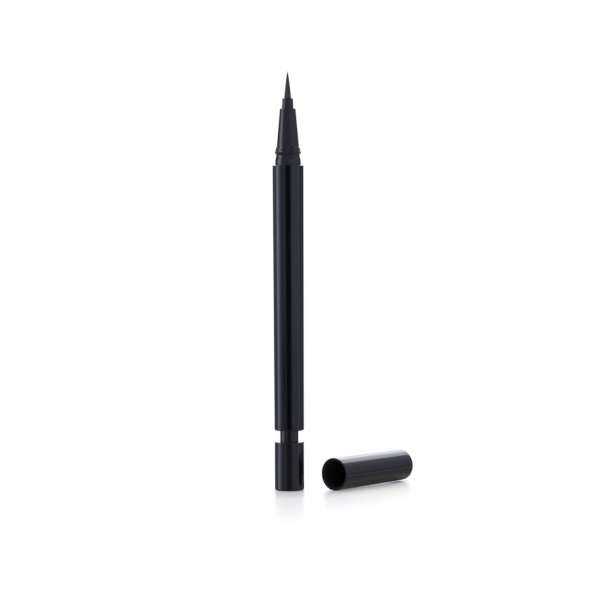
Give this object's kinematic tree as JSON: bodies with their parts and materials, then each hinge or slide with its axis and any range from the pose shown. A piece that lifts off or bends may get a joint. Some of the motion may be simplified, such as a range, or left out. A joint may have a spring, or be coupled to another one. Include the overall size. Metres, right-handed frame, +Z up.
{
  "type": "liquid eyeliner pen",
  "caption": "Click-type liquid eyeliner pen with a fine brush tip, standing on its push knob, with its slip-on cap taken off beside it.",
  "frame": {"origin": "the centre of the push knob's flat foot, on the pen's axis", "axes": "+Z up along the pen from the knob to the brush; +X along the loose cap's axis, from its mouth to its closed end; +Y completes the right-handed frame"},
  "size_m": [0.0489, 0.0241, 0.1401],
  "materials": {
    "barrel": "glossy blue-black",
    "nose": "glossy black",
    "knob": "satin blue-black",
    "cap": "glossy black",
    "holder": "matt black",
    "liner": "matt black",
    "brush": "dark grey fibre",
    "works": "grey moulded",
    "rotor": "white moulded",
    "tank": "smooth grey",
    "seal": "soft black",
    "steel": "bright"
  },
  "bodies": {
    "pen": {"barrel": "barrel", "nose_cone": "nose", "nose_seal": "seal", "brush_holder": "holder", "brush_tip": "brush", "feed_pipe": "steel", "tank_plug": "works", "tank_seal": "seal", "liquid_tank": "tank", "screw_nut": "rotor", "fixed_cam": "works", "rear_bush": "works", "return_spring": "steel"},
    "knob": {"knob_shell": "knob", "push_stem": "knob"},
    "rotor": {"ratchet_rotor": "rotor"},
    "piston": {"piston": "seal", "stir_ball": "steel"},
    "screw": {"feed_screw": "works"},
    "cap": {"cap_shell": "cap", "cap_spring": "steel"},
    "cup": {"cap_liner": "liner"}
  },
  "joints": [
    {"name": "knob_push", "type": "slide", "parent": "pen", "child": "knob", "axis": [0, 0, 1], "range_m": [0, 0.003], "stiffness_N_per_m": 400, "springref_m": -0.005, "deforming": ["return_spring"]},
    {"name": "piston_feed", "type": "slide", "parent": "pen", "child": "piston", "axis": [0, 0, 1], "range_m": [0, 0.024]},
    {"name": "screw_turn", "type": "hinge", "parent": "piston", "child": "screw", "pos_m": [0, 0, 0.03], "axis": [0, 0, 1], "range_deg": [0, 2880]},
    {"name": "rotor_turn", "type": "hinge", "parent": "knob", "child": "rotor", "pos_m": [0, 0, 0.0314], "axis": [0, 0, 1], "range_deg": [0, 2880]},
    {"name": "cap_pull", "type": "slide", "parent": "pen", "child": "cap", "axis": [1, 0, 0], "range_m": [0, 0.032]},
    {"name": "cup_give", "type": "slide", "parent": "cap", "child": "cup", "axis": [1, 0, 0], "range_m": [0, 0.0007], "stiffness_N_per_m": 300, "springref_m": -0.0015, "deforming": ["cap_spring"]}
  ],
  "couplings": [
    {"joint": "screw_turn", "follows": "piston_feed", "rad_per_m": 2094.4},
    {"joint": "rotor_turn", "follows": "piston_feed", "rad_per_m": 2094.4}
  ]
}
